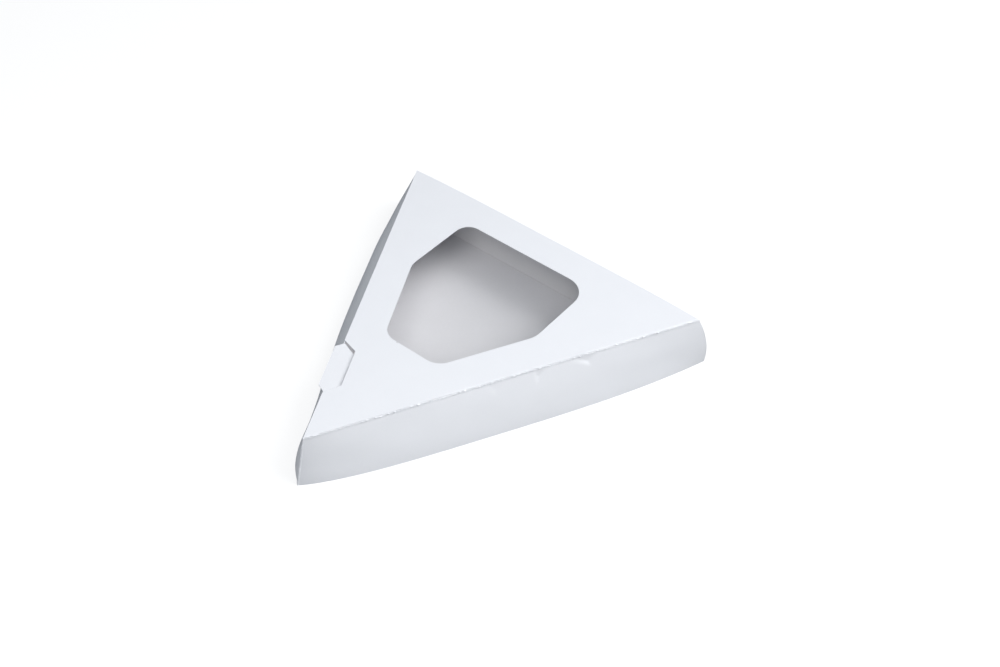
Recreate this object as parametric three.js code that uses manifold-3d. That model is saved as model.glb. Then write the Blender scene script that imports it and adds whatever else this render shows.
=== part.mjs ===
// Pizza slice clamshell: a folded board case with a hinged, windowed lid.
// Millimetres, +Z up, tip of the slice towards -Y, crust end towards +Y.
import * as THREE from 'three';
import { mergeVertices } from 'three/addons/utils/BufferGeometryUtils.js';
import Module from 'manifold-3d';

const wasm = await Module();
wasm.setup();

// Board and the lid panel, which is a wedge seen from above
const boardThickness = 0.5;
const lidLength = 228;
const lidHalfWidth = 119;
const crustEdgeBow = 1.6;
const caseHeight = 33.5;
const lidRestGap = 0.3;

// Foot of the walls, wider than the lid all round
const tipFlare = 9;
const backCornerFlare = 6.7;
const crustFlare = 1;

// How far each wall bellies out of its straight foot line
const hingeWallBelly = 8;
const hingeWallFullness = 4;
const lockWallBelly = 12;
const lockWallFullness = 2.2;
const crustWallBelly = 3;
const crustWallFullness = 4;
const wallProfilePower = 2.4;
const backCornerBelly = 3;
const cornerBellyFade = 8;

// Window in the lid, a six-sided cut with rounded corners
const windowOffCentre = -2.4;
const windowHalfWidth = 52.2;
const windowFarY = 206.2;
const windowShoulderY = 151.4;
const windowNearY = 92.7;
const windowNearHalfWidth = 21.7;
const windowFarRadius = 10;
const windowShoulderRadius = 14;
const windowNearRadius = 12;

// Notch in the lock edge and the tray's tongue that sits in it, from the tip
const notchCentre = 59.8;
const notchHalfMouth = 22.8;
const notchHalfFloor = 14.8;
const notchDepth = 9.3;
const tongueHalfTip = 16.6;
const tongueHalfWaist = 19.7;
const tongueHalfRoot = 5;
const tongueReach = 4.2;
const tongueWaist = 0.9;
const tongueTuck = 15;
const tongueDip = 0.1;

// Flap folded down from the crust edge of the lid, inside the crust wall
const flapTopHalfWidth = 98;
const flapFootHalfWidth = 82;
const flapTopInset = 1.4;
const flapFootInset = 7.4;
const flapFootHeight = 1.6;
const flapBite = 0.25;

// How finely the bowed walls and the rounded corners are drawn
const stationsPerSide = 20;
const wallSteps = 8;
const cornerSegments = 8;

const wallTop = caseHeight - boardThickness - lidRestGap;
const lidUnderside = caseHeight - boardThickness;
const boardColour = 0xeeeff2;

// Corners of a wedge, drawn in by a margin: tip, right back, left back.
function wedgeCorners(tipY, backY, halfWidth, margin) {
  const halfApex = Math.atan2(halfWidth, backY - tipY);
  const innerTipY = tipY + margin / Math.sin(halfApex);
  const innerBackY = backY - margin;
  const innerHalf = (innerBackY - innerTipY) * Math.tan(halfApex);
  return [
    new THREE.Vector2(0, innerTipY),
    new THREE.Vector2(innerHalf, innerBackY),
    new THREE.Vector2(-innerHalf, innerBackY),
  ];
}

function topCorners(margin) {
  return wedgeCorners(0, lidLength, lidHalfWidth, margin);
}

function footCorners(margin) {
  const halfWidth = lidHalfWidth + backCornerFlare;
  return wedgeCorners(-tipFlare, lidLength + crustFlare, halfWidth, margin);
}

// The three sides: bow of the top edge, belly of the foot, and their fullness.
const sides = [
  { bow: 0, belly: hingeWallBelly, fullness: hingeWallFullness },
  { bow: crustEdgeBow, belly: crustWallBelly, fullness: crustWallFullness },
  { bow: 0, belly: lockWallBelly, fullness: lockWallFullness },
];

// 1 in the middle of a side and 0 at its ends; a higher fullness is flatter.
function swell(along, fullness) {
  return 1 - Math.abs(2 * along - 1) ** fullness;
}

// Point on one side between two corners, pushed outwards.
function sidePoint(corners, side, along, push) {
  const start = corners[side];
  const end = corners[(side + 1) % sides.length];
  const run = end.clone().sub(start).normalize();
  const outward = new THREE.Vector2(run.y, -run.x);
  return start.clone().lerp(end, along).addScaledVector(outward, push);
}

// Outward push at the back corners, where the upright folds belly a little.
function cornerPush(side, along, level) {
  const crustSide = side === 1;
  const nearTip = (side === 0 && along < 0.5) || (side === 2 && along > 0.5);
  if (nearTip) {
    return new THREE.Vector2(0, 0);
  }
  const edge = Math.abs(2 * along - 1) ** cornerBellyFade;
  const right = side === 0 || (crustSide && along < 0.5);
  const towards = new THREE.Vector2(right ? lidHalfWidth : -lidHalfWidth, lidLength / 3);
  const amount = backCornerBelly * 4 * level * (1 - level) * edge;
  return towards.normalize().multiplyScalar(amount);
}

// Point of the tray's wall at a height, for a surface drawn in by a margin.
function wallPoint(side, along, height, margin) {
  const level = Math.min(height / wallTop, 1);
  const { bow, belly, fullness } = sides[side];
  const top = sidePoint(topCorners(margin), side, along, bow * swell(along, fullness));
  const foot = sidePoint(footCorners(margin), side, along, 0);
  const point = foot.lerp(top, level);
  const push = belly * swell(along, fullness) * (1 - level ** wallProfilePower);
  const run = sidePoint(topCorners(margin), side, 1, 0).sub(sidePoint(topCorners(margin), side, 0, 0));
  run.normalize();
  point.addScaledVector(new THREE.Vector2(run.y, -run.x), push);
  return point.add(cornerPush(side, along, level));
}

// Stations round the outline, closer together near the corners.
function outlineStations() {
  const stations = [];
  for (let side = 0; side < sides.length; side += 1) {
    for (let step = 0; step < stationsPerSide; step += 1) {
      const along = (1 - Math.cos((Math.PI * step) / stationsPerSide)) / 2;
      stations.push({ side, along });
    }
  }
  return stations;
}

// A closed solid following the walls, between two heights.
function wallBody(margin, bottom, top) {
  const stations = outlineStations();
  const plan = stations.map(({ side, along }) => wallPoint(side, along, wallTop, margin));
  const geometry = new THREE.ExtrudeGeometry(new THREE.Shape(plan), {
    depth: top - bottom,
    steps: wallSteps,
    bevelEnabled: false,
  });
  const position = geometry.getAttribute('position');
  const here = new THREE.Vector2();
  for (let i = 0; i < position.count; i += 1) {
    here.set(position.getX(i), position.getY(i));
    let nearest = 0;
    for (let k = 1; k < plan.length; k += 1) {
      if (plan[k].distanceToSquared(here) < plan[nearest].distanceToSquared(here)) {
        nearest = k;
      }
    }
    const { side, along } = stations[nearest];
    const height = bottom + position.getZ(i);
    const point = wallPoint(side, along, height, margin);
    position.setXYZ(i, point.x, point.y, height);
  }
  return geometry;
}

function toSolid(geometry) {
  const plain = geometry.clone();
  plain.deleteAttribute('normal');
  plain.deleteAttribute('uv');
  const merged = mergeVertices(plain, 1e-5);
  const mesh = new wasm.Mesh({
    numProp: 3,
    vertProperties: new Float32Array(merged.getAttribute('position').array),
    triVerts: new Uint32Array(merged.getIndex().array),
  });
  return new wasm.Manifold(mesh);
}

function toGeometry(solid) {
  const mesh = solid.getMesh();
  const geometry = new THREE.BufferGeometry();
  geometry.setAttribute('position', new THREE.BufferAttribute(mesh.vertProperties, 3));
  geometry.setIndex(new THREE.BufferAttribute(mesh.triVerts, 1));
  geometry.computeVertexNormals();
  return geometry;
}

// Point given along the lock edge from the tip, and outwards from that edge.
function lockEdgePoint(along, outward) {
  const run = new THREE.Vector2(-lidHalfWidth, lidLength).normalize();
  const out = new THREE.Vector2(-run.y, run.x);
  return run.clone().multiplyScalar(along).addScaledVector(out, outward);
}

// Tongue of the lock wall: an ear outside the lid edge, a tip tucked under the lid.
function tongueSolid() {
  const outline = [
    [tongueHalfTip, tongueReach],
    [tongueHalfWaist, -tongueWaist],
    [tongueHalfRoot, -tongueTuck],
    [-tongueHalfRoot, -tongueTuck],
    [-tongueHalfWaist, -tongueWaist],
    [-tongueHalfTip, tongueReach],
  ];
  const points = outline.map(([along, outward]) => lockEdgePoint(notchCentre + along, outward));
  const geometry = new THREE.ExtrudeGeometry(new THREE.Shape(points), {
    depth: boardThickness,
    bevelEnabled: false,
  });
  const position = geometry.getAttribute('position');
  const outDirection = lockEdgePoint(0, 1);
  const rise = wallTop - boardThickness / 4;
  for (let i = 0; i < position.count; i += 1) {
    const outward = position.getX(i) * outDirection.x + position.getY(i) * outDirection.y;
    position.setZ(i, position.getZ(i) + rise + tongueDip * outward);
  }
  return toSolid(geometry);
}

function trayMesh() {
  const outer = toSolid(wallBody(0, 0, wallTop));
  const hollow = toSolid(wallBody(boardThickness, boardThickness, caseHeight));
  const shell = outer.subtract(hollow);
  return new THREE.Mesh(toGeometry(shell.add(tongueSolid())), boardMaterial());
}

// Adds a rounded corner to a path: straight to the arc, then round it.
function roundCorner(path, before, corner, after, radius) {
  const inDirection = corner.clone().sub(before).normalize();
  const outDirection = after.clone().sub(corner).normalize();
  const turn = Math.acos(THREE.MathUtils.clamp(inDirection.dot(outDirection), -1, 1));
  const setback = radius * Math.tan(turn / 2);
  const start = corner.clone().addScaledVector(inDirection, -setback);
  const clockwise = inDirection.cross(outDirection) < 0;
  const turnSign = clockwise ? -1 : 1;
  const toCentre = new THREE.Vector2(-inDirection.y, inDirection.x).multiplyScalar(turnSign);
  const centre = start.clone().addScaledVector(toCentre, radius);
  const startAngle = Math.atan2(start.y - centre.y, start.x - centre.x);
  for (let i = 0; i <= cornerSegments; i += 1) {
    const angle = startAngle + (turnSign * turn * i) / cornerSegments;
    path.push(new THREE.Vector2(centre.x + radius * Math.cos(angle), centre.y + radius * Math.sin(angle)));
  }
}

function windowPath() {
  const corners = [
    [windowNearHalfWidth, windowNearY, windowNearRadius],
    [windowHalfWidth, windowShoulderY, windowShoulderRadius],
    [windowHalfWidth, windowFarY, windowFarRadius],
    [-windowHalfWidth, windowFarY, windowFarRadius],
    [-windowHalfWidth, windowShoulderY, windowShoulderRadius],
    [-windowNearHalfWidth, windowNearY, windowNearRadius],
  ];
  const points = corners.map(([x, y]) => new THREE.Vector2(x + windowOffCentre, y));
  const path = [];
  points.forEach((corner, i) => {
    const before = points[(i + points.length - 1) % points.length];
    const after = points[(i + 1) % points.length];
    roundCorner(path, before, corner, after, corners[i][2]);
  });
  return new THREE.Path(path);
}

// Lid outline: tip, hinge edge, bowed crust edge, then the lock edge with its notch.
function lidShape() {
  const [tip, right] = topCorners(0);
  const points = [tip, right];
  for (let step = 1; step <= stationsPerSide; step += 1) {
    const along = step / stationsPerSide;
    const bow = crustEdgeBow * swell(along, crustWallFullness);
    points.push(sidePoint(topCorners(0), 1, along, bow));
  }
  points.push(lockEdgePoint(notchCentre + notchHalfMouth, 0));
  points.push(lockEdgePoint(notchCentre + notchHalfFloor, -notchDepth));
  points.push(lockEdgePoint(notchCentre - notchHalfFloor, -notchDepth));
  points.push(lockEdgePoint(notchCentre - notchHalfMouth, 0));
  const shape = new THREE.Shape(points);
  shape.holes.push(windowPath());
  return shape;
}

// Crust flap, a tapered panel leaning inwards from the lid down to the floor.
function flapSolid() {
  const height = lidUnderside + flapBite - flapFootHeight;
  const outline = new THREE.Shape([
    new THREE.Vector2(-flapFootHalfWidth, 0),
    new THREE.Vector2(flapFootHalfWidth, 0),
    new THREE.Vector2(flapTopHalfWidth, height),
    new THREE.Vector2(-flapTopHalfWidth, height),
  ]);
  const geometry = new THREE.ExtrudeGeometry(outline, { depth: boardThickness, bevelEnabled: false });
  geometry.rotateX(Math.PI / 2);
  const position = geometry.getAttribute('position');
  const lean = (flapFootInset - flapTopInset) / height;
  for (let i = 0; i < position.count; i += 1) {
    const rise = position.getZ(i);
    const y = lidLength - flapFootInset + lean * rise + position.getY(i);
    position.setXYZ(i, position.getX(i), y, flapFootHeight + rise);
  }
  return toSolid(geometry);
}

function lidMesh() {
  const panel = new THREE.ExtrudeGeometry(lidShape(), { depth: boardThickness, bevelEnabled: false });
  panel.translate(0, 0, lidUnderside);
  return new THREE.Mesh(toGeometry(toSolid(panel).add(flapSolid())), boardMaterial());
}

function boardMaterial() {
  return new THREE.MeshStandardMaterial({ color: boardColour, roughness: 0.72, metalness: 0 });
}

const tray = trayMesh();
tray.name = 'tray';
const lid = lidMesh();
lid.name = 'lid';

const clamshell = new THREE.Group();
clamshell.name = 'pizza_slice_clamshell';
clamshell.add(tray, lid);

// Centre the case on the middle of its footprint
const middle = new THREE.Box3().setFromObject(clamshell).getCenter(new THREE.Vector3());
for (const mesh of clamshell.children) {
  mesh.geometry.translate(-middle.x, -middle.y, 0);
}

export default clamshell;
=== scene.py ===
"""Looks of a folded pizza slice case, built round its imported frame."""

import logging
import math
from collections.abc import Iterable
from dataclasses import dataclass
from enum import Enum

import bmesh
import bpy
from mathutils import Matrix, Vector, noise


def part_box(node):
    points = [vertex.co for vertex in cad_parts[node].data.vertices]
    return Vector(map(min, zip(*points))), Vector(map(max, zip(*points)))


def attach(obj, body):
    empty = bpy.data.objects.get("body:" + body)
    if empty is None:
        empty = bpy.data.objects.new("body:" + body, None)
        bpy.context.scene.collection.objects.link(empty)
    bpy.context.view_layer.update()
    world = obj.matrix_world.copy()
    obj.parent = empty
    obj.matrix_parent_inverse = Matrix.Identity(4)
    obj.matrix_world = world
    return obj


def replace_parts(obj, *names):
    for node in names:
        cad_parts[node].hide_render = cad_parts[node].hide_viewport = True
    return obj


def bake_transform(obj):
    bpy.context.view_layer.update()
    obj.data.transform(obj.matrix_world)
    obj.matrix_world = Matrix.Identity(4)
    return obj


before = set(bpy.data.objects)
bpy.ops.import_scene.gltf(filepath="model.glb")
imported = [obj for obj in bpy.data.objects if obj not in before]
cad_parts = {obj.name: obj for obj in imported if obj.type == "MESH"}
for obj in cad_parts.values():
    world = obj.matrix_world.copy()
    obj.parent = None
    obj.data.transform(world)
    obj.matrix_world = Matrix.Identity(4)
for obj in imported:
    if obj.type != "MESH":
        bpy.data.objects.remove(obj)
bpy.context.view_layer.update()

LOG = logging.getLogger("pizza_slice_clamshell")
MM = 0.001
IMAGE_WIDTH = 1000.0
CUT_TOLERANCE = 1e-7
UP = Vector((0.0, 0.0, 1.0))
TRAY_SLOT = "tray_board"
LID_SLOT = "lid_board"


class Side(Enum):
    """The three sides of the wedge, in order round the outline."""

    HINGE = 0
    CRUST = 1
    LOCK = 2


def arch(share: float) -> float:
    """Curve that is 0 at both ends of a span and 1 in its middle."""
    return 4.0 * share * (1.0 - share)


def clamp(share: float) -> float:
    """A share, held between 0 and 1."""
    return min(max(share, 0.0), 1.0)


def square_to(run: Vector) -> Vector:
    """Level vector square to a run, on its right-hand side."""
    return Vector((run.y, -run.x, 0.0))


def bend(start: Vector, corner: Vector, end: Vector, share: float) -> Vector:
    """Point on the soft bend that goes round a corner from start to end."""
    return start.lerp(corner, share).lerp(corner.lerp(end, share), share)


@dataclass(frozen=True)
class Belly:
    """How one wall swells out of its straight foot line."""

    depth: float
    fullness: float
    skew: float = 1.0
    drop_power: float = 2.4

    def share(self, along: float) -> float:
        """Swell between 0 and 1 at a place along the wall."""
        return 1.0 - abs(2.0 * along**self.skew - 1.0) ** self.fullness


@dataclass(frozen=True)
class CaseForm:
    """Sizes of the folded case, in metres, with the tip of the lid at y = 0."""

    board: float = 0.5 * MM
    lid_length: float = 228 * MM
    lid_half_width: float = 119 * MM
    crust_bow: float = 1.6 * MM
    height: float = 33.5 * MM
    rest_gap: float = 0.3 * MM
    tip_flare: float = 9 * MM
    corner_flare: float = 6.7 * MM
    crust_flare: float = 1 * MM
    corner_belly: float = 3 * MM
    corner_fade: float = 8.0
    tip_puff: float = 3.6 * MM
    tip_puff_span: float = 0.03
    tip_puff_sink: float = 0.7
    bellies: tuple[Belly, Belly, Belly] = (
        Belly(8 * MM, 3.2, 0.86, 1.3),
        Belly(3 * MM, 4.0),
        Belly(12 * MM, 2.4, 0.72),
    )

    @property
    def wall_top(self) -> float:
        """Height of the top of the walls."""
        return self.height - self.board - self.rest_gap

    @property
    def lid_underside(self) -> float:
        """Height of the lower face of the lid."""
        return self.height - self.board

    @property
    def edge_length(self) -> float:
        """Length of the hinge edge, and of the lock edge."""
        return math.hypot(self.lid_half_width, self.lid_length)

    @property
    def hinge_run(self) -> Vector:
        """Unit vector along the hinge edge, from the tip to the crust end."""
        return Vector((self.lid_half_width, self.lid_length, 0.0)).normalized()

    @property
    def hinge_out(self) -> Vector:
        """Unit vector out of the case, square to the hinge edge."""
        return square_to(self.hinge_run)

    def lid_corners(self) -> list[Vector]:
        """Finds the corners of the lid.

        Returns:
            The tip, the right back and the left back corner.
        """
        return [
            Vector((0.0, 0.0, 0.0)),
            Vector((self.lid_half_width, self.lid_length, 0.0)),
            Vector((-self.lid_half_width, self.lid_length, 0.0)),
        ]

    def foot_corners(self) -> list[Vector]:
        """Finds the corners of the floor's outline.

        Returns:
            The tip, the right back and the left back corner.
        """
        half = self.lid_half_width + self.corner_flare
        back = self.lid_length + self.crust_flare
        return [
            Vector((0.0, -self.tip_flare, 0.0)),
            Vector((half, back, 0.0)),
            Vector((-half, back, 0.0)),
        ]

    def outward(self, side: Side) -> Vector:
        """Finds the way out of the case on one side.

        Args:
            side: The side.

        Returns:
            The unit vector square to that side of the lid.
        """
        corners = self.lid_corners()
        run = corners[(side.value + 1) % 3] - corners[side.value]
        run.normalize()
        return square_to(run)

    def corner_push(self, side: Side, along: float, level: float) -> Vector:
        """Belly of the upright folds at the two back corners.

        Args:
            side: The wall.
            along: Place along it, from 0 to 1.
            level: Height as a share of the wall's.

        Returns:
            The push, in metres.
        """
        if (side is Side.HINGE and along < 0.5) or (side is Side.LOCK and along > 0.5):
            return Vector((0.0, 0.0, 0.0))
        right = side is Side.HINGE or (side is Side.CRUST and along < 0.5)
        edge = abs(2.0 * along - 1.0) ** self.corner_fade
        across = self.lid_half_width if right else -self.lid_half_width
        towards = Vector((across, self.lid_length / 3.0, 0.0)).normalized()
        return towards * (self.corner_belly * arch(level) * edge)

    def puff(self, side: Side, along: float, level: float) -> float:
        """Short puff of the lock wall beside the tip's upright fold.

        Args:
            side: The wall.
            along: Place along it, from 0 to 1.
            level: Height as a share of the wall's.

        Returns:
            The push outwards, in metres.
        """
        if side is not Side.LOCK:
            return 0.0
        from_tip = (1.0 - along) / self.tip_puff_span
        shape = arch(level**self.tip_puff_sink)
        return self.tip_puff * shape * from_tip * math.exp(1.0 - from_tip)

    def wall_point(self, side: Side, along: float, height: float) -> Vector:
        """Point on the outer face of a wall.

        Args:
            side: The wall.
            along: Place along it, from 0 to 1, going round from the tip.
            height: Height above the ground.

        Returns:
            The point, with the tip of the lid at the origin's x and y.
        """
        level = min(height / self.wall_top, 1.0)
        start, end = side.value, (side.value + 1) % 3
        lid, foot = self.lid_corners(), self.foot_corners()
        out = self.outward(side)
        top = lid[start].lerp(lid[end], along)
        belly = self.bellies[side.value]
        if side is Side.CRUST:
            top += out * (self.crust_bow * belly.share(along))
        point = foot[start].lerp(foot[end], along).lerp(top, level)
        push = belly.depth * belly.share(along) * (1.0 - level**belly.drop_power)
        point += out * (push + self.puff(side, along, level))
        point += self.corner_push(side, along, level)
        point.z = height
        return point


@dataclass(frozen=True)
class Dent:
    """A three-cornered press mark that hangs from an edge, deepest at its foot.

    Its place is a share of the edge's length, its reach goes away from the edge,
    and its lean moves the foot along the edge, as a share of the half width.
    Outside the three corners the surface comes back over the fade.
    """

    along: float
    reach: float
    half_width: float
    depth: float
    lean: float = 0.0
    fade: float = 0.8

    def press(self, along: float, drop: float, length: float) -> float:
        """How far the surface goes in at a place.

        Args:
            along: Share of the way along the edge.
            drop: Distance from the edge.
            length: Length of the edge.

        Returns:
            The inward press, in metres.
        """
        down = max(drop / self.reach, 0.0)
        across = (along - self.along) * length / self.half_width - self.lean * down
        outside = max(abs(across) + down - 1.0, 0.0) / self.fade
        return self.depth * down * max(1.0 - outside, 0.0) ** 2


@dataclass(frozen=True)
class Grain:
    """A noise pattern: its scales along and across a surface, and its seed."""

    along: float
    across: float
    seed: float

    def at(self, along: float, across: float) -> float:
        """Noise, about -1 to 1, at a place on the surface."""
        place = Vector((along * self.along, across * self.across, self.seed))
        return noise.noise(place)

    def upright_at(self, along: float, height: float) -> float:
        """The same for an upright surface, whose second measure is a height."""
        place = Vector((along * self.along, self.seed, height * self.across))
        return noise.noise(place)


@dataclass(frozen=True)
class Wear:
    """Cracks and lifted flakes along the crest of a scored fold."""

    crack: Grain
    flake: Grain
    crack_lift: float
    crack_slide: float
    flake_lift: float
    flake_floor: float

    def at(self, along: float, share: float) -> tuple[float, float]:
        """How the wear moves the fold's surface at a place.

        Args:
            along: Place along the fold, in the measure that the grains go by.
            share: Place across it, from 0 to 1.

        Returns:
            The lift out of the fold and the slide to one side, in metres.
        """
        crest = math.sin(math.pi * share) ** 2
        crack = self.crack.at(along, share)
        flake = max(0.0, self.flake.at(along, share) - self.flake_floor)
        lift = self.crack_lift * crack + self.flake_lift * flake
        return lift * crest, self.crack_slide * crack * crest


@dataclass(frozen=True)
class BoardFinish:
    """Matt bleached board with faint fibres and mottling."""

    name: str
    tone: tuple[float, float, float]
    shade: tuple[float, float, float]
    contrast: float = 1.0
    roughness: float = 0.62
    roughness_spread: float = 0.06
    specular: float = 0.32
    fibre_scale: float = 900.0
    fibre_detail: float = 3.0
    fibre_rough: float = 0.65
    fibre_share: float = 0.4
    fibre_bump: float = 0.12
    fibre_height: float = 0.05 * MM
    mottle_scale: float = 38.0
    mottle_detail: float = 5.0
    mottle_rough: float = 0.6
    ramp_reach: float = 0.2

    def make(self) -> bpy.types.Material:
        """Builds the node material.

        Returns:
            The material.
        """
        material = bpy.data.materials.new(self.name)
        material.use_nodes = True
        tree = material.node_tree
        tree.nodes.clear()
        output = tree.nodes.new("ShaderNodeOutputMaterial")
        shader = tree.nodes.new("ShaderNodeBsdfPrincipled")
        shader.inputs["Specular IOR Level"].default_value = self.specular
        place = tree.nodes.new("ShaderNodeTexCoord")
        mottle = self.add_noise(
            tree, place, self.mottle_scale, self.mottle_detail, self.mottle_rough
        )
        fibres = self.add_noise(
            tree, place, self.fibre_scale, self.fibre_detail, self.fibre_rough
        )
        blend = tree.nodes.new("ShaderNodeMix")
        blend.data_type = "FLOAT"
        blend.inputs[0].default_value = self.fibre_share
        tree.links.new(mottle.outputs["Fac"], blend.inputs[2])
        tree.links.new(fibres.outputs["Fac"], blend.inputs[3])
        ramp = tree.nodes.new("ShaderNodeValToRGB")
        reach = self.ramp_reach / self.contrast
        ramp.color_ramp.elements[0].position = 0.5 - reach
        ramp.color_ramp.elements[0].color = (*self.shade, 1.0)
        ramp.color_ramp.elements[1].position = 0.5 + reach
        ramp.color_ramp.elements[1].color = (*self.tone, 1.0)
        tree.links.new(blend.outputs[0], ramp.inputs["Fac"])
        tree.links.new(ramp.outputs["Color"], shader.inputs["Base Color"])
        rough = tree.nodes.new("ShaderNodeMapRange")
        rough.inputs["To Min"].default_value = self.roughness - self.roughness_spread
        rough.inputs["To Max"].default_value = self.roughness + self.roughness_spread
        tree.links.new(mottle.outputs["Fac"], rough.inputs["Value"])
        tree.links.new(rough.outputs["Result"], shader.inputs["Roughness"])
        bump = tree.nodes.new("ShaderNodeBump")
        bump.inputs["Strength"].default_value = self.fibre_bump
        bump.inputs["Distance"].default_value = self.fibre_height
        tree.links.new(fibres.outputs["Fac"], bump.inputs["Height"])
        tree.links.new(bump.outputs["Normal"], shader.inputs["Normal"])
        tree.links.new(shader.outputs["BSDF"], output.inputs["Surface"])
        return material

    @staticmethod
    def add_noise(
        tree: bpy.types.NodeTree,
        place: bpy.types.Node,
        scale: float,
        detail: float,
        rough: float,
    ) -> bpy.types.Node:
        """Adds a noise texture on object coordinates.

        Args:
            tree: The material's node tree.
            place: Its texture coordinate node.
            scale: Noise scale, per metre.
            detail: Octaves.
            rough: Roughness of the octaves.

        Returns:
            The noise node.
        """
        node = tree.nodes.new("ShaderNodeTexNoise")
        node.inputs["Scale"].default_value = scale
        node.inputs["Detail"].default_value = detail
        node.inputs["Roughness"].default_value = rough
        tree.links.new(place.outputs["Object"], node.inputs["Vector"])
        return node


class Board(Enum):
    """The board's finishes, by where they are on the folded case; the tucked tongue's
    is the outer board darkened as painted shade, and the scored folds' is paler cracked
    board with a painted highlight.
    """

    OUTER = BoardFinish("white_board", (0.888, 0.896, 0.925), (0.862, 0.87, 0.9))
    INNER = BoardFinish("inside_board", (0.73, 0.724, 0.742), (0.695, 0.688, 0.703))
    TURNED = BoardFinish("turned_board", (0.8, 0.79, 0.795), (0.765, 0.755, 0.76))
    # Outer board darkened: painted shade where the lid overhangs the tongue.
    TUCKED_PAINTED_SHADE = BoardFinish("tucked_board_painted_shade", (0.84, 0.847, 0.875), (0.815, 0.822, 0.85))
    # Paler cracked board at the folds, with a painted highlight along the crest on top
    # of it.
    SCORED_AND_PAINTED_HIGHLIGHT = BoardFinish(
        "scored_board_and_painted_highlight", (0.95, 0.957, 0.985), (0.85, 0.86, 0.895), contrast=2.6
    )


@dataclass(frozen=True)
class StudioFinish:
    """Pale sweep that shows white to the camera and keeps a soft shadow."""

    name: str = "pale_sweep"
    bounce: float = 0.35
    glow: float = 0.76

    def make(self) -> bpy.types.Material:
        """Builds the node material.

        Returns:
            The material.
        """
        material = bpy.data.materials.new(self.name)
        material.use_nodes = True
        tree = material.node_tree
        tree.nodes.clear()
        output = tree.nodes.new("ShaderNodeOutputMaterial")
        matt = tree.nodes.new("ShaderNodeBsdfDiffuse")
        grey = self.bounce
        matt.inputs["Color"].default_value = (grey, grey, grey, 1.0)
        white = tree.nodes.new("ShaderNodeEmission")
        white.inputs["Strength"].default_value = self.glow
        seen = tree.nodes.new("ShaderNodeLightPath")
        pick = tree.nodes.new("ShaderNodeMixShader")
        add = tree.nodes.new("ShaderNodeAddShader")
        tree.links.new(matt.outputs[0], add.inputs[0])
        tree.links.new(white.outputs[0], add.inputs[1])
        tree.links.new(seen.outputs["Is Camera Ray"], pick.inputs[0])
        tree.links.new(matt.outputs[0], pick.inputs[1])
        tree.links.new(add.outputs[0], pick.inputs[2])
        tree.links.new(pick.outputs[0], output.inputs["Surface"])
        return material


class Workshop:
    """Turns bmeshes into placed, dressed objects."""

    @staticmethod
    def face(
        bm: bmesh.types.BMesh,
        outward: Vector,
        witness: bmesh.types.BMFace | None = None,
    ) -> None:
        """Makes the faces of a skin agree and look outwards.

        Args:
            bm: The skin.
            outward: Direction that the witness has to look along.
            witness: The face that is tested; the first one if it isn't given.
        """
        bmesh.ops.recalc_face_normals(bm, faces=bm.faces)
        bm.faces.ensure_lookup_table()
        tested = witness or bm.faces[0]
        tested.normal_update()
        if tested.normal.dot(outward) < 0.0:
            bmesh.ops.reverse_faces(bm, faces=bm.faces)

    @staticmethod
    def to_object(name: str, bm: bmesh.types.BMesh) -> bpy.types.Object:
        """Makes a linked object of a bmesh, at the origin.

        Args:
            name: Name of the object and its mesh.
            bm: The bmesh, which is freed.

        Returns:
            The object.
        """
        mesh = bpy.data.meshes.new(name)
        bm.to_mesh(mesh)
        bm.free()
        obj = bpy.data.objects.new(name, mesh)
        bpy.context.scene.collection.objects.link(obj)
        return obj

    @staticmethod
    def settle(obj: bpy.types.Object) -> None:
        """Applies an object's modifiers to its mesh.

        Args:
            obj: The object.
        """
        bpy.context.view_layer.update()
        graph = bpy.context.evaluated_depsgraph_get()
        settled = bpy.data.meshes.new_from_object(obj.evaluated_get(graph))
        old = obj.data
        obj.modifiers.clear()
        obj.data = settled
        bpy.data.meshes.remove(old)
        settled.name = obj.name

    @staticmethod
    def cut(obj: bpy.types.Object, cutter: bpy.types.Object) -> None:
        """Takes a cutter's volume out of an object.

        Args:
            obj: The object.
            cutter: The cutter, which is removed.
        """
        boolean = obj.modifiers.new("cut", "BOOLEAN")
        boolean.operation = "DIFFERENCE"
        boolean.solver = "EXACT"
        boolean.object = cutter
        Workshop.settle(obj)
        mesh = cutter.data
        bpy.data.objects.remove(cutter)
        bpy.data.meshes.remove(mesh)

    @staticmethod
    def thicken(
        obj: bpy.types.Object, thickness: float, inner_slot: bool = False
    ) -> None:
        """Gives a skin its board thickness, inwards from its outer face.

        The slots for an inner face are there before the thickness is applied,
        because the inner faces otherwise fall back to the first one.

        Args:
            obj: The skin.
            thickness: Board thickness, in metres.
            inner_slot: Whether the inner face takes the next material slot.
        """
        if inner_slot:
            obj.data.materials.append(None)
            obj.data.materials.append(None)
        solid = obj.modifiers.new("board", "SOLIDIFY")
        solid.thickness = thickness
        solid.offset = -1.0
        solid.use_even_offset = True
        solid.material_offset = 1 if inner_slot else 0
        Workshop.settle(obj)

    @staticmethod
    def shade(obj: bpy.types.Object, crease_degrees: float) -> None:
        """Smooth shading that breaks at sharp edges.

        Args:
            obj: The object.
            crease_degrees: Angle past which an edge is sharp.
        """
        for polygon in obj.data.polygons:
            polygon.use_smooth = True
        obj.data.set_sharp_from_angle(angle=math.radians(crease_degrees))

    @staticmethod
    def dress(
        obj: bpy.types.Object, materials: list[bpy.types.Material], slot: str
    ) -> None:
        """Assigns materials.

        Args:
            obj: The object.
            materials: Its materials, in the order of its slots.
            slot: The record's name for them; not used.
        """
        for index, material in enumerate(materials):
            if index < len(obj.data.materials):
                obj.data.materials[index] = material
            else:
                obj.data.materials.append(material)


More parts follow.
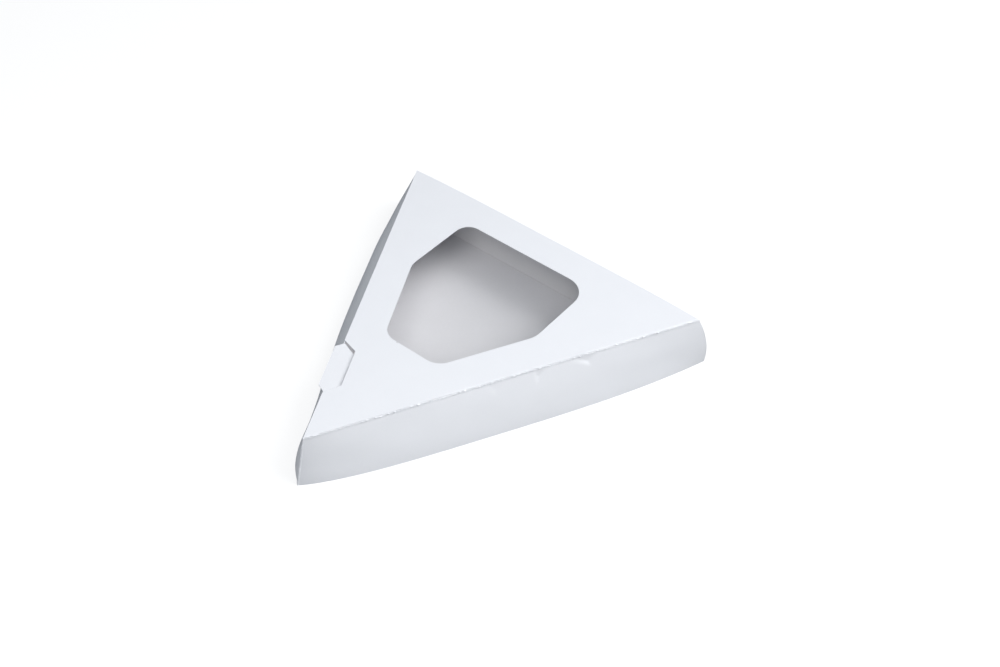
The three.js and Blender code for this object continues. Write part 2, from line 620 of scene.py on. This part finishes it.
@dataclass(frozen=True)
class Plate:
    """A flat plate of board, cut from a grid by straight cuts."""

    cell: float
    corner_segments: int = 10

    def grid(self, low: Vector, high: Vector) -> bmesh.types.BMesh:
        """A level grid between two corners.

        Args:
            low: Lowest corner.
            high: Highest corner.

        Returns:
            The bmesh.
        """
        bm = bmesh.new()
        size = high - low
        bmesh.ops.create_grid(
            bm,
            x_segments=max(2, round(size.x / self.cell)),
            y_segments=max(2, round(size.y / self.cell)),
            size=0.5,
        )
        bmesh.ops.scale(bm, vec=(size.x, size.y, 1.0), verts=bm.verts)
        bmesh.ops.translate(bm, vec=(low + high) / 2.0, verts=bm.verts)
        return bm

    @staticmethod
    def trim(bm: bmesh.types.BMesh, point: Vector, outward: Vector) -> None:
        """Cuts away what lies beyond a line, seen from above.

        Args:
            bm: The plate.
            point: A point on the line.
            outward: Direction of the side that goes.
        """
        bmesh.ops.bisect_plane(
            bm,
            geom=[*bm.verts, *bm.edges, *bm.faces],
            dist=CUT_TOLERANCE,
            plane_co=point,
            plane_no=outward,
            clear_outer=True,
        )

    def prism(
        self,
        name: str,
        corners: list[Vector],
        radii: list[float],
        low: float,
        high: float,
    ) -> bpy.types.Object:
        """An upright prism with rounded corners, used as a die for a cut.

        Args:
            name: Name of the object.
            corners: Its corners, going round counter-clockwise.
            radii: Rounding radius of each corner; 0 leaves it sharp.
            low: Height of its foot.
            high: Height of its top.

        Returns:
            The object.
        """
        bm = bmesh.new()
        verts = [bm.verts.new((c.x, c.y, low)) for c in corners]
        bm.faces.new(verts)
        count = len(corners)
        for index, radius in enumerate(radii):
            if radius <= 0.0:
                continue
            before = (corners[index - 1] - corners[index]).normalized()
            after = (corners[(index + 1) % count] - corners[index]).normalized()
            setback = radius / math.tan(before.angle(after) / 2.0)
            bmesh.ops.bevel(
                bm,
                geom=[verts[index]],
                offset=setback,
                offset_type="OFFSET",
                segments=self.corner_segments,
                profile=0.5,
                affect="VERTICES",
                material=-1,
            )
        bottom = list(bm.faces)
        grown = bmesh.ops.extrude_face_region(bm, geom=bottom)["geom"]
        top = [g for g in grown if isinstance(g, bmesh.types.BMVert)]
        bmesh.ops.translate(bm, vec=(0.0, 0.0, high - low), verts=top)
        bmesh.ops.recalc_face_normals(bm, faces=bm.faces)
        return Workshop.to_object(name, bm)


@dataclass
class Tray:
    """Floor panel and the three walls, one skin of board."""

    form: CaseForm
    shift: Vector
    boards: dict[Board, bpy.types.Material]
    hinge_stations: int = 340
    crust_stations: int = 90
    lock_stations: int = 170
    station_crowding: float = 0.55
    levels: int = 34
    level_crowding: float = 1.5
    top_gap: float = 0.1 * MM
    wave_depth: float = 0.35 * MM
    wave_along: float = 9.0
    wave_up: float = 60.0
    wave_seed_step: float = 7.3
    crease_degrees: float = 28.0
    dents: tuple[Dent, ...] = (
        Dent(0.58, 5.6 * MM, 3.8 * MM, 0.9 * MM, lean=-0.6),
        Dent(0.69, 4.6 * MM, 7.5 * MM, 0.8 * MM, lean=0.3),
        Dent(0.463, 5.0 * MM, 6.0 * MM, 0.3 * MM),
    )

    def stations(self) -> list[tuple[Side, float]]:
        """Stations round the outline, closer together near the corners.

        Returns:
            The side of each station and its place along that side.
        """
        found = []
        counts = (self.hinge_stations, self.crust_stations, self.lock_stations)
        for side, count in zip(Side, counts):
            for step in range(count):
                even = step / count
                eased = (1.0 - math.cos(math.pi * even)) / 2.0
                crowding = self.station_crowding
                found.append((side, (1.0 - crowding) * even + crowding * eased))
        return found

    def surface(self, side: Side, along: float, height: float) -> Vector:
        """Point of the outer face, with its press marks and faint waves.

        Args:
            side: The wall.
            along: Place along it, from 0 to 1.
            height: Height above the ground.

        Returns:
            The point, with the tip of the lid at the origin's x and y.
        """
        point = self.form.wall_point(side, along, height)
        out = self.form.outward(side)
        calm = math.sin(math.pi * clamp(height / self.form.wall_top))
        grain = Grain(self.wave_along, self.wave_up, side.value * self.wave_seed_step)
        point += out * (self.wave_depth * grain.upright_at(along, height) * calm)
        if side is Side.HINGE:
            drop = self.form.wall_top - height
            for dent in self.dents:
                point -= out * dent.press(along, drop, self.form.edge_length)
        return point

    def build(self) -> bpy.types.Object:
        """Builds the skin from a ring that is extruded upwards, then thickened.

        Returns:
            The dressed tray.
        """
        stations = self.stations()
        bm = bmesh.new()
        order = bm.verts.layers.int.new("station")
        bmesh.ops.create_circle(
            bm,
            cap_ends=True,
            segments=len(stations),
            radius=self.form.lid_half_width,
        )
        bm.verts.ensure_lookup_table()
        for index, vert in enumerate(bm.verts):
            vert[order] = index
        self.place(bm.verts, order, stations, 0.0)
        edges = list(bm.edges)
        top = self.form.wall_top + self.form.rest_gap - self.top_gap
        for level in range(1, self.levels + 1):
            grown = bmesh.ops.extrude_edge_only(bm, edges=edges)["geom"]
            ring = {g for g in grown if isinstance(g, bmesh.types.BMVert)}
            edges = [
                g
                for g in grown
                if isinstance(g, bmesh.types.BMEdge) and ring.issuperset(g.verts)
            ]
            left = (1.0 - level / self.levels) ** self.level_crowding
            self.place(ring, order, stations, top * (1.0 - left))
        floor = max(bm.faces, key=lambda face: len(face.verts))
        Workshop.face(bm, -UP, witness=floor)
        bm.verts.layers.int.remove(order)
        obj = Workshop.to_object("tray_shell", bm)
        Workshop.thicken(obj, self.form.board, inner_slot=True)
        Workshop.shade(obj, self.crease_degrees)
        materials = [self.boards[Board.OUTER], self.boards[Board.INNER]]
        Workshop.dress(obj, materials, TRAY_SLOT)
        return obj

    def place(
        self,
        verts: Iterable[bmesh.types.BMVert],
        order: bmesh.types.BMLayerItem,
        stations: list[tuple[Side, float]],
        height: float,
    ) -> None:
        """Moves a ring's vertices onto the wall at a height.

        Args:
            verts: The ring.
            order: Layer with each vertex's station number.
            stations: Side and place of each station.
            height: Height above the ground.
        """
        for vert in verts:
            side, along = stations[vert[order]]
            vert.co = self.surface(side, along, height) + self.shift


@dataclass
class Lid:
    """Top panel with its window and notch, and the flap folded down inside.

    The window and the nick in its edge are lists of corners, in millimetres from
    the tip; the window's have a rounding radius as well.
    """

    form: CaseForm
    shift: Vector
    boards: dict[Board, bpy.types.Material]
    plate: Plate = Plate(1.5 * MM)
    margin: float = 1 * MM
    bow_start: float = 0.8
    window: tuple[tuple[float, float, float], ...] = (
        (20.0, 92.7, 12.0),
        (50.3, 150.3, 14.0),
        (49.0, 206.2, 16.0),
        (-54.2, 206.2, 10.0),
        (-54.2, 152.2, 14.0),
        (-22.9, 92.7, 12.0),
    )
    nick: tuple[tuple[float, float], ...] = (
        (-13.4, 93.3),
        (-12.1, 91.7),
        (-10.9, 93.3),
    )
    die_beyond: float = 2 * MM
    notch_centre: float = 59.8 * MM
    notch_half_mouth: float = 22.8 * MM
    notch_half_floor: float = 14.8 * MM
    notch_depth: float = 9.3 * MM
    notch_radius: float = 0.6 * MM
    roll_drop: float = 0.3 * MM
    roll_reach: float = 22 * MM
    roll_fade: float = 2.0
    wave_depth: float = 0.12 * MM
    wave: Grain = Grain(18.0, 18.0, 3.7)
    flap_top_half: float = 98 * MM
    flap_foot_half: float = 82 * MM
    flap_top_inset: float = 1.4 * MM
    flap_foot_inset: float = 7.4 * MM
    flap_foot_height: float = 0.62 * MM
    flap_overlap: float = 0.1 * MM
    flap_wave_depth: float = 0.25 * MM
    flap_wave: Grain = Grain(20.0, 30.0, 1.3)
    crease_degrees: float = 35.0
    dents: tuple[Dent, ...] = (
        Dent(0.682, 5.0 * MM, 7.0 * MM, 0.22 * MM),
        Dent(0.886, 4.0 * MM, 5.0 * MM, 0.18 * MM),
    )

    def lock_point(self, along: float, outward: float) -> Vector:
        """Point along the lock edge from the tip, and outwards from it."""
        half, length = self.form.lid_half_width, self.form.lid_length
        run = Vector((-half, length, 0.0)).normalized()
        return run * along - square_to(run) * outward

    def build_panel(self) -> bpy.types.Object:
        """Builds the panel: a grid trimmed to the wedge, then die-cut.

        Returns:
            The dressed panel.
        """
        half, length = self.form.lid_half_width, self.form.lid_length
        low = Vector((-half - self.margin, -self.margin, self.form.height))
        high = Vector((half + self.margin, length, self.form.height))
        bm = self.plate.grid(low, high)
        tip = self.form.lid_corners()[0]
        self.plate.trim(bm, tip, self.form.outward(Side.HINGE))
        self.plate.trim(bm, tip, self.form.outward(Side.LOCK))
        for vert in bm.verts:
            self.bow(vert)
        obj = Workshop.to_object("lid_panel", bm)
        Workshop.thicken(obj, self.form.board)
        self.cut_window(obj)
        self.cut_notch(obj)
        for vert in obj.data.vertices:
            vert.co.z += self.relief(vert.co)
            vert.co += self.shift
        Workshop.shade(obj, self.crease_degrees)
        Workshop.dress(obj, [self.boards[Board.OUTER]], LID_SLOT)
        return obj

    def bow(self, vert: bmesh.types.BMVert) -> None:
        """Moves a vertex near the crust edge out to the edge's bow.

        Args:
            vert: The vertex.
        """
        half, length = self.form.lid_half_width, self.form.lid_length
        along = clamp((half - vert.co.x) / (2.0 * half))
        start = self.bow_start * length
        near = max(0.0, (vert.co.y - start) / (length - start))
        share = self.form.bellies[Side.CRUST.value].share(along)
        vert.co.y += self.form.crust_bow * share * near * near

    def punch(
        self,
        obj: bpy.types.Object,
        name: str,
        corners: list[Vector],
        radii: list[float],
    ) -> None:
        """Cuts a prism right through the panel.

        Args:
            obj: The panel.
            name: Name of the die.
            corners: Corners of the cut, going round counter-clockwise.
            radii: Rounding radius of each corner.
        """
        low = self.form.lid_underside - self.die_beyond
        high = self.form.height + self.die_beyond
        Workshop.cut(obj, self.plate.prism(name, corners, radii, low, high))

    def cut_window(self, obj: bpy.types.Object) -> None:
        """Cuts the six-sided window and the nick in its edge.

        Args:
            obj: The panel.
        """
        corners = [Vector((x * MM, y * MM, 0.0)) for x, y, _ in self.window]
        radii = [radius * MM for _, _, radius in self.window]
        self.punch(obj, "window_die", corners, radii)
        corners = [Vector((x * MM, y * MM, 0.0)) for x, y in self.nick]
        self.punch(obj, "nick_die", corners, [0.0] * len(corners))

    def cut_notch(self, obj: bpy.types.Object) -> None:
        """Cuts the notch for the lock tongue out of the lock edge.

        Args:
            obj: The panel.
        """
        slope = (self.notch_half_mouth - self.notch_half_floor) / self.notch_depth
        mouth = self.notch_half_mouth + slope * self.die_beyond
        outline = [
            (mouth, self.die_beyond),
            (-mouth, self.die_beyond),
            (-self.notch_half_floor, -self.notch_depth),
            (self.notch_half_floor, -self.notch_depth),
        ]
        corners = [self.lock_point(self.notch_centre + a, o) for a, o in outline]
        radii = [0.0, 0.0, self.notch_radius, self.notch_radius]
        self.punch(obj, "notch_die", corners, radii)

    def relief(self, point: Vector) -> float:
        """Rise or fall of the board from a dead flat panel.

        Args:
            point: Place on the panel.

        Returns:
            The rise, in metres.
        """
        from_crust = (self.form.lid_length - point.y) / self.roll_reach
        rise = -self.roll_drop * math.exp(-max(from_crust, 0.0) * self.roll_fade)
        rise += self.wave_depth * self.wave.at(point.x, point.y)
        across = -point.dot(self.form.hinge_out)
        length = self.form.edge_length
        along = point.dot(self.form.hinge_run) / length
        for dent in self.dents:
            rise -= dent.press(along, across, length)
        return rise

    def build_flap(self) -> bpy.types.Object:
        """Builds the crust flap, leaning inwards from the lid to the floor.

        Returns:
            The dressed flap.
        """
        height = self.form.lid_underside - self.flap_foot_height + self.flap_overlap
        half = self.flap_top_half
        bm = self.plate.grid(Vector((-half, 0.0, 0.0)), Vector((half, height, 0.0)))
        for sign in (-1.0, 1.0):
            foot = Vector((sign * self.flap_foot_half, 0.0, 0.0))
            edge = Vector((sign * self.flap_top_half, height, 0.0)) - foot
            self.plate.trim(bm, foot, square_to(edge) * sign)
        lean = (self.flap_foot_inset - self.flap_top_inset) / height
        for vert in bm.verts:
            x, rise = vert.co.x, vert.co.y
            wave = self.flap_wave.upright_at(x, rise)
            y = self.form.lid_length - self.flap_foot_inset + lean * rise
            y += self.flap_wave_depth * wave * math.sin(math.pi * rise / height)
            vert.co = Vector((x, y, self.flap_foot_height + rise)) + self.shift
        Workshop.face(bm, Vector((0.0, 1.0, 0.0)))
        obj = Workshop.to_object("crust_flap", bm)
        Workshop.thicken(obj, self.form.board)
        Workshop.shade(obj, self.crease_degrees)
        Workshop.dress(obj, [self.boards[Board.TURNED]], LID_SLOT)
        return obj


@dataclass
class LockTongue:
    """Tongue of the tray: an ear outside the lid, its root tucked under it."""

    form: CaseForm
    shift: Vector
    boards: dict[Board, bpy.types.Material]
    lid: Lid
    plate: Plate = Plate(0.8 * MM)
    half_tip: float = 16.6 * MM
    half_waist: float = 20.6 * MM
    half_root: float = 7 * MM
    low_waist: float = 22.2 * MM
    low_root: float = 13.5 * MM
    reach: float = 4.2 * MM
    waist: float = 0.9 * MM
    tuck: float = 15 * MM
    dip: float = 0.12
    sink_start: float = 6 * MM
    sink: float = 0.05
    crease_degrees: float = 35.0

    def build(self) -> bpy.types.Object:
        """Builds the tongue from a grid trimmed by its six edges.

        Returns:
            The dressed tongue.
        """
        low = Vector((-self.low_waist, -self.tuck, 0.0))
        high = Vector((self.half_waist, self.reach, 0.0))
        bm = self.plate.grid(low, high)
        for sign, waist_x, root_x in (
            (1.0, self.half_waist, self.half_root),
            (-1.0, self.low_waist, self.low_root),
        ):
            ear = Vector((self.half_tip, self.reach, 0.0))
            waist = Vector((waist_x, -self.waist, 0.0))
            root = Vector((root_x, -self.tuck, 0.0))
            for start, end in ((ear, waist), (waist, root)):
                edge = end - start
                point = Vector((sign * start.x, start.y, 0.0))
                self.plate.trim(bm, point, Vector((-sign * edge.y, edge.x, 0.0)))
        base = self.form.wall_top + 0.5 * self.form.board
        for vert in bm.verts:
            along, outward = vert.co.x, vert.co.y
            flat = self.lid.lock_point(self.lid.notch_centre + along, outward)
            sunk = max(0.0, -self.sink_start - outward)
            height = base + self.dip * outward - self.sink * sunk
            vert.co = Vector((flat.x, flat.y, height)) + self.shift
        Workshop.face(bm, UP)
        obj = Workshop.to_object("lock_tongue", bm)
        Workshop.thicken(obj, self.form.board)
        Workshop.shade(obj, self.crease_degrees)
        # The tongue's board is darkened as painted shade from the overhanging lid.
        Workshop.dress(obj, [self.boards[Board.TUCKED_PAINTED_SHADE]], TRAY_SLOT)
        return obj


@dataclass
class ScoredFold:
    """A thin skin over one of the case's scored folds, with its cracks, coloured paler
    partly as a painted highlight along the crest.
    """

    form: CaseForm
    shift: Vector
    boards: dict[Board, bpy.types.Material]
    tray: Tray
    crease_degrees: float = 60.0

    def finish(
        self,
        name: str,
        bm: bmesh.types.BMesh,
        outward: Vector,
        skin: float,
        slot: str,
    ) -> bpy.types.Object:
        """Makes the dressed piece of a grid that is bent round the fold.

        Args:
            name: Name of the piece.
            bm: The bent grid.
            outward: Direction out of the fold.
            skin: Thickness of the skin.
            slot: The record's name for its material.

        Returns:
            The piece.
        """
        Workshop.face(bm, outward)
        obj = Workshop.to_object(name, bm)
        Workshop.thicken(obj, skin)
        Workshop.shade(obj, self.crease_degrees)
        # The fold's skin is whitened cracked board and, in part, a painted highlight
        # along the crest.
        Workshop.dress(obj, [self.boards[Board.SCORED_AND_PAINTED_HIGHLIGHT]], slot)
        return obj


@dataclass
class HingeFold(ScoredFold):
    """The scored fold that joins the lid to the right wall."""

    wall_drop: float = 0.9 * MM
    lid_reach: float = 0.8 * MM
    proud: float = 0.04 * MM
    corner_out: float = 0.3 * MM
    across: int = 10
    cell: float = 0.7 * MM
    skin: float = 0.12 * MM
    blend_out: float = 0.6 * MM
    blend_below: float = 0.6 * MM
    blend_in: float = 0.7 * MM
    blend_above: float = 0.1 * MM
    wear: Wear = Wear(
        crack=Grain(150.0, 4.0, 0.4),
        flake=Grain(190.0, 3.0, 5.1),
        crack_lift=0.15 * MM,
        crack_slide=0.08 * MM,
        flake_lift=2.2 * MM,
        flake_floor=0.18,
    )

    def profile(self, along: float, share: float) -> Vector:
        """Point across the fold, from the wall to the lid.

        Args:
            along: Place along the hinge edge, from 0 to 1.
            share: 0 on the wall, 1 on the lid.

        Returns:
            The point.
        """
        out = self.form.hinge_out
        tip, back, _ = self.form.lid_corners()
        edge = tip.lerp(back, along)
        wall = self.tray.surface(Side.HINGE, along, self.form.wall_top - self.wall_drop)
        wall += out * self.proud
        corner = edge + out * self.corner_out
        corner.z = self.form.height + self.proud
        lid = edge - out * self.lid_reach
        lid.z = self.form.height + self.proud
        return bend(wall, corner, lid, share)

    def build(self) -> bpy.types.Object:
        """Builds the fold: a grid bent round the edge, roughened by its wear.

        Returns:
            The dressed fold.
        """
        out = self.form.hinge_out
        segments = round(self.form.edge_length / self.cell)
        bm = bmesh.new()
        bmesh.ops.create_grid(
            bm, x_segments=segments, y_segments=self.across, size=0.5
        )
        for vert in bm.verts:
            along, share = clamp(vert.co.x + 0.5), clamp(vert.co.y + 0.5)
            lift, slide = self.wear.at(along, share)
            point = self.profile(along, share) + out * lift
            point.z += slide
            vert.co = point + self.shift
        return self.finish("hinge_fold", bm, out + UP, self.skin, LID_SLOT)

    def blend_ends(self) -> tuple[Vector, Vector]:
        """Finds where the fold leaves the wall and where it joins the lid.

        Returns:
            A point beside the wall's top and a point on the lid.
        """
        out = self.form.hinge_out
        start = self.shift + out * self.blend_out
        start += UP * (self.form.wall_top - self.blend_below)
        end = self.shift - out * self.blend_in
        end += UP * (self.form.height + self.blend_above)
        return start, end


@dataclass
class TipFold(ScoredFold):
    """The cracked upright fold where the two long walls meet at the tip."""

    reach: float = 0.8 * MM
    corner_out: float = 0.95 * MM
    foot: float = 0.3 * MM
    across: int = 8
    cell: float = 0.6 * MM
    skin: float = 0.1 * MM
    wear: Wear = Wear(
        crack=Grain(260.0, 2.0, 8.2),
        flake=Grain(900.0, 3.0, 2.6),
        crack_lift=0.12 * MM,
        crack_slide=0.7 * MM,
        flake_lift=0.9 * MM,
        flake_floor=0.15,
    )

    def profile(self, height: float, share: float) -> Vector:
        """Point across the fold, from the lock wall to the hinge wall.

        Args:
            height: Height above the ground.
            share: 0 on the lock wall, 1 on the hinge wall.

        Returns:
            The point.
        """
        step = self.reach / self.form.edge_length
        left = self.tray.surface(Side.LOCK, 1.0 - step, height)
        right = self.tray.surface(Side.HINGE, step, height)
        corner = self.form.wall_point(Side.HINGE, 0.0, height)
        corner.y -= self.corner_out
        return bend(left, corner, right, share)

    def build(self) -> bpy.types.Object:
        """Builds the fold: a grid bent round the corner, roughened by its wear.

        Returns:
            The dressed fold.
        """
        rise = self.form.wall_top - self.foot
        bm = bmesh.new()
        bmesh.ops.create_grid(
            bm, x_segments=self.across, y_segments=round(rise / self.cell), size=0.5
        )
        for vert in bm.verts:
            share = clamp(vert.co.x + 0.5)
            height = self.foot + rise * clamp(vert.co.y + 0.5)
            lift, slide = self.wear.at(height, share)
            point = self.profile(height, share)
            point.y -= lift
            point.x += slide
            vert.co = point + self.shift
        forward = Vector((0.0, -1.0, 0.0))
        return self.finish("tip_fold", bm, forward, self.skin, TRAY_SLOT)


@dataclass(frozen=True)
class Lamp:
    """A square soft lamp that faces a point."""

    name: str
    place: tuple[float, float, float]
    aim: tuple[float, float, float]
    size: float
    power: float

    def hang(self) -> bpy.types.Object:
        """Adds the lamp.

        Returns:
            The lamp's object.
        """
        light = bpy.data.lights.new(self.name, "AREA")
        light.shape = "SQUARE"
        light.size = self.size
        light.energy = self.power
        obj = bpy.data.objects.new(self.name, light)
        bpy.context.scene.collection.objects.link(obj)
        obj.location = self.place
        direction = Vector(self.aim) - Vector(self.place)
        obj.rotation_euler = direction.to_track_quat("-Z", "Y").to_euler()
        return obj


@dataclass(frozen=True)
class Studio:
    """Pale sweep, soft lamps and a quiet sky."""

    floor_half: float = 6.0
    floor_drop: float = 0.02 * MM
    sky: float = 0.14
    sky_tint: tuple[float, float, float] = (0.64, 0.81, 1.0)
    lamps: tuple[Lamp, ...] = (
        Lamp("right_softbox", (1.365, 0.7, 1.285), (0.0, 0.0, 0.0), 1.7, 21.3),
        Lamp("front_softbox", (0.364, -0.606, 0.97), (0.0, 0.0, 0.0), 0.75, 4.9),
        Lamp("top_softbox", (-0.02, -0.2, 0.75), (0.0, -0.05, 0.0), 0.5, 0.72),
        Lamp("rear_softbox", (0.796, 1.194, 1.393), (0.0, 0.0, 0.0), 1.7, 16.2),
    )

    def build(self) -> None:
        """Adds the floor, the lamps and the world."""
        bm = bmesh.new()
        bmesh.ops.create_grid(bm, x_segments=1, y_segments=1, size=self.floor_half)
        floor = Workshop.to_object("studio_floor", bm)
        floor.data.materials.append(StudioFinish().make())
        floor.location.z = -self.floor_drop
        for lamp in self.lamps:
            lamp.hang()
        self.make_sky()

    def make_sky(self) -> None:
        """A world that is white to the camera and gives a soft even light."""
        world = bpy.data.worlds.new("studio_sky")
        bpy.context.scene.world = world
        world.use_nodes = True
        tree = world.node_tree
        tree.nodes.clear()
        output = tree.nodes.new("ShaderNodeOutputWorld")
        seen = tree.nodes.new("ShaderNodeBackground")
        seen.inputs["Strength"].default_value = 1.0
        lit = tree.nodes.new("ShaderNodeBackground")
        lit.inputs["Color"].default_value = (*self.sky_tint, 1.0)
        lit.inputs["Strength"].default_value = self.sky
        path = tree.nodes.new("ShaderNodeLightPath")
        glossy = tree.nodes.new("ShaderNodeMath")
        glossy.operation = "MAXIMUM"
        through = tree.nodes.new("ShaderNodeMath")
        through.operation = "MAXIMUM"
        pick = tree.nodes.new("ShaderNodeMixShader")
        tree.links.new(path.outputs["Is Camera Ray"], glossy.inputs[0])
        tree.links.new(path.outputs["Is Glossy Ray"], glossy.inputs[1])
        tree.links.new(glossy.outputs[0], through.inputs[0])
        tree.links.new(path.outputs["Is Transmission Ray"], through.inputs[1])
        tree.links.new(through.outputs[0], pick.inputs[0])
        tree.links.new(lit.outputs[0], pick.inputs[1])
        tree.links.new(seen.outputs[0], pick.inputs[2])
        tree.links.new(pick.outputs[0], output.inputs["Surface"])


@dataclass(frozen=True)
class PhotoCamera:
    """Camera at the photograph's angle."""

    target: tuple[float, float, float] = (0.00942, 0.0536, 0.0)
    azimuth: float = 39.92
    elevation: float = 44.18
    roll: float = -0.1
    distance: float = 0.91261
    focal_pixels: float = 1400.0
    sensor: float = 36.0

    def place(self) -> bpy.types.Object:
        """Adds the camera and makes it the scene's own.

        Returns:
            The camera's object.
        """
        azimuth, elevation = math.radians(self.azimuth), math.radians(self.elevation)
        ahead = Vector(
            (
                -math.sin(azimuth) * math.cos(elevation),
                math.cos(azimuth) * math.cos(elevation),
                -math.sin(elevation),
            )
        )
        level_right = Vector((math.cos(azimuth), math.sin(azimuth), 0.0))
        level_up = level_right.cross(ahead)
        turn = math.radians(self.roll)
        right = level_right * math.cos(turn) + level_up * math.sin(turn)
        up = level_up * math.cos(turn) - level_right * math.sin(turn)
        data = bpy.data.cameras.new("photo_camera")
        data.sensor_fit = "HORIZONTAL"
        data.sensor_width = self.sensor
        data.lens = self.sensor * self.focal_pixels / IMAGE_WIDTH
        obj = bpy.data.objects.new("photo_camera", data)
        bpy.context.scene.collection.objects.link(obj)
        eye = Vector(self.target) - ahead * self.distance
        axes = Matrix((right, up, -ahead)).transposed().to_4x4()
        obj.matrix_world = Matrix.Translation(eye) @ axes
        bpy.context.scene.camera = obj
        return obj


def main() -> None:
    """Builds the case, dresses it, and sets the camera and the light."""
    logging.basicConfig(level=logging.INFO, format="%(message)s")
    bpy.context.scene.view_settings.view_transform = "Standard"
    PhotoCamera().place()
    Studio().build()
    form = CaseForm()
    lid_low, lid_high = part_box("lid")
    shift = Vector(((lid_low.x + lid_high.x) / 2.0, lid_low.y, 0.0))
    boards = {board: board.value.make() for board in Board}
    tray = Tray(form, shift, boards)
    lid = Lid(form, shift, boards)
    fold = HingeFold(form, shift, boards, tray)
    shell = tray.build()
    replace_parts(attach(shell, "tray"), "tray")
    tongue = LockTongue(form, shift, boards, lid).build()
    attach(tongue, "tray")
    panel = lid.build_panel()
    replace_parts(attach(panel, "lid"), "lid")
    flap = lid.build_flap()
    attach(flap, "lid")
    strip = fold.build()
    start, end = fold.blend_ends()
    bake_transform(strip)
    tip = TipFold(form, shift, boards, tray).build()
    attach(tip, "tray")
    for piece in (shell, tongue, panel, flap, strip, tip):
        LOG.info("%s: %d faces", piece.name, len(piece.data.polygons))


if __name__ == "__main__":
    main()
